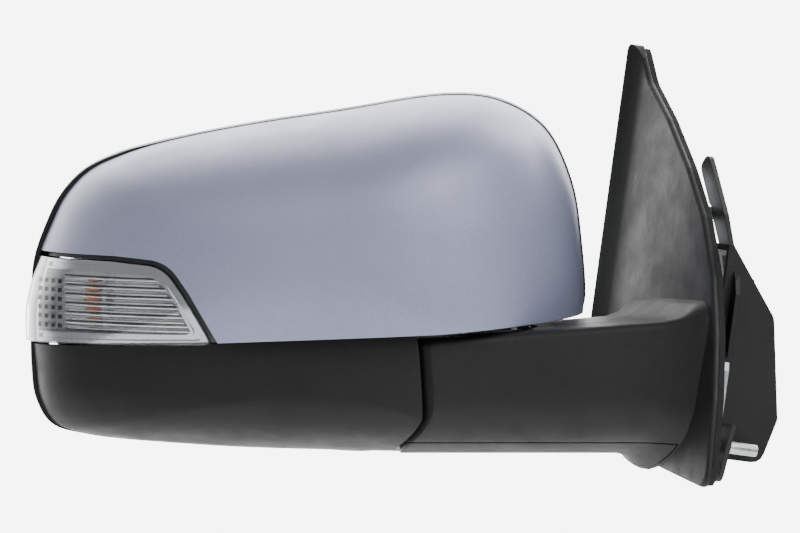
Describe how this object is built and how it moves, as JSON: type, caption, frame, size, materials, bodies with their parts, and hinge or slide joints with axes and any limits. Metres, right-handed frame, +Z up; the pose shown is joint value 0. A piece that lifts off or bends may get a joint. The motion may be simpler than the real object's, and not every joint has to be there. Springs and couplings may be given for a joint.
{
  "type": "car side mirror",
  "caption": "Door mirror: painted head with turn-signal lens folds about a post in a black arm and sail base, and its glass tilts both ways.",
  "frame": {"origin": "on the door skin, at the middle of the arm's root, on the cast base's seating pad", "axes": "+X towards the car across it, +Y rearwards (the glass faces +Y), +Z up"},
  "size_m": [0.3599, 0.1504, 0.2046],
  "materials": {
    "paint": "satin grey-lavender body paint on a moulded cover",
    "moulded_black": "fine-grained moulded black plastic",
    "bracket_black": "plain black plastic",
    "lens": "clear ribbed moulded lens",
    "reflector": "vacuum-metallised reflector",
    "amber_bulb": "amber lacquered glass bulb",
    "cast": "as-cast aluminium",
    "steel": "zinc-plated steel",
    "gear_plastic": "natural acetal",
    "foam": "closed-cell foam",
    "lead_black": "taped wiring",
    "connector_grey": "light grey connector",
    "heater_foil": "printed heater film",
    "mirror_face": "silvered glass"
  },
  "bodies": {
    "base": {"sail_cover": "moulded_black", "arm_under_cover": "moulded_black", "sail_gasket": "foam", "base_frame": "cast", "stud_upper": "steel", "stud_rear": "steel", "stud_front": "steel", "mount_bracket": "bracket_black", "harness_connector": "connector_grey", "base_harness": "lead_black", "pivot_post": "steel", "detent_ring": "steel", "clutch_gear": "steel", "thrust_washer": "steel", "fold_spring": "steel", "retaining_clip": "steel"},
    "head": {"upper_cover": "paint", "lower_cover": "moulded_black", "lamp_lens": "lens", "lamp_housing": "reflector", "lamp_bulb": "amber_bulb", "bulb_socket": "bracket_black", "rear_housing": "moulded_black", "head_frame": "bracket_black", "actuator_case_rear": "bracket_black", "actuator_case_front": "bracket_black", "horizontal_motor": "steel", "vertical_motor": "steel", "fold_case": "bracket_black", "fold_case_cap": "bracket_black", "pivot_bush": "gear_plastic", "fold_motor": "steel", "head_harness": "lead_black", "actuator_screw_1": "steel", "actuator_screw_2": "steel", "actuator_screw_3": "steel", "fold_unit_screw_1": "steel", "fold_unit_screw_2": "steel"},
    "pinion": {"fold_pinion": "gear_plastic"},
    "gimbal": {"gimbal_ring": "gear_plastic"},
    "glass": {"swivel_plate": "gear_plastic", "glass_carrier": "bracket_black", "heater_pad": "heater_foil", "mirror_glass": "mirror_face"},
    "horizontal_rack": {"horizontal_plunger": "gear_plastic"},
    "vertical_rack": {"vertical_plunger": "gear_plastic"},
    "horizontal_gear": {"horizontal_drive_gear": "gear_plastic"},
    "vertical_gear": {"vertical_drive_gear": "gear_plastic"}
  },
  "joints": [
    {"name": "fold", "type": "hinge", "parent": "base", "child": "head", "pos_m": [-0.0826, 0, 0], "axis": [0.0785, 0, -0.9969], "range_deg": [-60, 65]},
    {"name": "fold_pinion_spin", "type": "hinge", "parent": "head", "child": "pinion", "pos_m": [-0.11466, 0, 0.04663], "axis": [0.0785, 0, -0.9969], "range_deg": [-115, 120]},
    {"name": "glass_yaw", "type": "hinge", "parent": "head", "child": "gimbal", "pos_m": [-0.1826, 0.027, 0.06], "axis": [0, 0, 1], "range_deg": [-7, 7]},
    {"name": "glass_pitch", "type": "hinge", "parent": "gimbal", "child": "glass", "pos_m": [-0.1826, 0.027, 0.06], "axis": [1, 0, 0], "range_deg": [-7, 7]},
    {"name": "horizontal_plunger_slide", "type": "slide", "parent": "head", "child": "horizontal_rack", "axis": [0, 1, 0], "range_m": [-0.0041, 0.0041]},
    {"name": "vertical_plunger_slide", "type": "slide", "parent": "head", "child": "vertical_rack", "axis": [0, 1, 0], "range_m": [-0.0041, 0.0041]},
    {"name": "horizontal_gear_spin", "type": "hinge", "parent": "head", "child": "horizontal_gear", "pos_m": [-0.2106, 0.0095, 0.0508], "axis": [-1, 0, 0], "range_deg": [-40, 40]},
    {"name": "vertical_gear_spin", "type": "hinge", "parent": "head", "child": "vertical_gear", "pos_m": [-0.1734, 0.0095, 0.088], "axis": [0, 0, -1], "range_deg": [-40, 40]}
  ],
  "couplings": [
    {"joint": "fold_pinion_spin", "follows": "fold", "ratio": 1.8},
    {"joint": "horizontal_plunger_slide", "follows": "glass_yaw", "m_per_rad": -0.028},
    {"joint": "horizontal_gear_spin", "follows": "glass_yaw", "ratio": -4.6667},
    {"joint": "vertical_plunger_slide", "follows": "glass_pitch", "m_per_rad": -0.028},
    {"joint": "vertical_gear_spin", "follows": "glass_pitch", "ratio": -4.6667}
  ]
}
